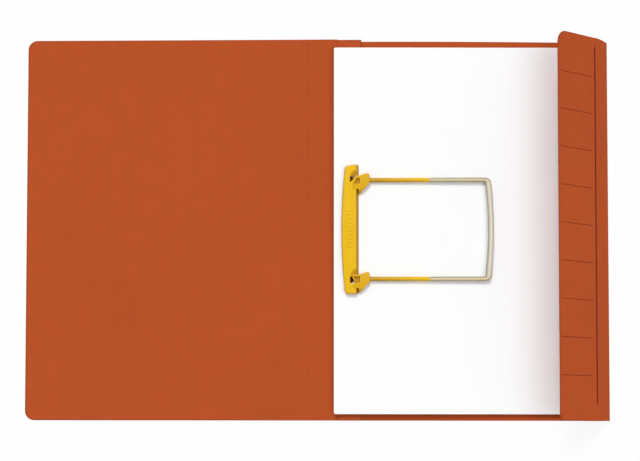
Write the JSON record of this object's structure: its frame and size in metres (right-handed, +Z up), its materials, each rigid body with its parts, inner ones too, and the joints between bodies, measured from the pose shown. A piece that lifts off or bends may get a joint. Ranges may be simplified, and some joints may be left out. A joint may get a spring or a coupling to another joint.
{
  "type": "clip folder",
  "caption": "Creased board folder for A4 sheets, open, with an index flap on one side and a filing clip whose hinged tubes take a pull-out bow.",
  "frame": {"origin": "centre of the open folder's footprint, on the surface it lies on", "axes": "+X from the front cover to the index flap, +Y to the top edge of the sheets, +Z up off the surface"},
  "size_m": [0.4722, 0.31, 0.0481],
  "materials": {
    "orange_board": "matte",
    "white_paper": "matte",
    "clear_glue": "satin",
    "yellow_plastic": "satin",
    "natural_plastic": "satin"
  },
  "bodies": {
    "rear_section": {"rear_panel": "orange_board", "hinge_strip": "orange_board", "glue_line_left": "clear_glue", "glue_line_right": "clear_glue", "paper_stack": "white_paper", "clip_anchor": "natural_plastic", "clip_bar": "yellow_plastic"},
    "spine_section": {"spine_panel": "orange_board"},
    "cover_section": {"front_cover": "orange_board"},
    "gusset_section": {"flap_gusset": "orange_board"},
    "label_section": {"flap_label_strip": "orange_board"},
    "upper_arm": {"upper_tube": "yellow_plastic"},
    "lower_arm": {"lower_tube": "yellow_plastic"},
    "bow": {"clip_bow": "natural_plastic"}
  },
  "joints": [
    {"name": "spine_fold", "type": "hinge", "parent": "rear_section", "child": "spine_section", "pos_m": [0.01386, 0, 0.0005], "axis": [0, 1, 0], "range_deg": [0, 90]},
    {"name": "cover_fold", "type": "hinge", "parent": "spine_section", "child": "cover_section", "pos_m": [-0.00614, 0, 0.0005], "axis": [0, 1, 0], "range_deg": [0, 90]},
    {"name": "gusset_fold", "type": "hinge", "parent": "rear_section", "child": "gusset_section", "pos_m": [0.23586, -0.001, 0.0005], "axis": [0, -1, 0], "range_deg": [-128, 8]},
    {"name": "label_fold", "type": "hinge", "parent": "gusset_section", "child": "label_section", "pos_m": [0.22478, -0.001, 0.01468], "axis": [0, -1, 0], "range_deg": [-6, 38]},
    {"name": "upper_arm_swing", "type": "hinge", "parent": "rear_section", "child": "upper_arm", "pos_m": [0.03191, 0.0389, 0.0087], "axis": [0, 1, 0], "range_deg": [-90, 0]},
    {"name": "lower_arm_swing", "type": "hinge", "parent": "rear_section", "child": "lower_arm", "pos_m": [0.03191, -0.0411, 0.0087], "axis": [0, 1, 0], "range_deg": [-90, 0]},
    {"name": "bow_slide", "type": "slide", "parent": "upper_arm", "child": "bow", "axis": [-1, 0, 0], "range_m": [-0.042, 0]}
  ],
  "couplings": [
    {"joint": "lower_arm_swing", "follows": "upper_arm_swing", "ratio": 1}
  ]
}
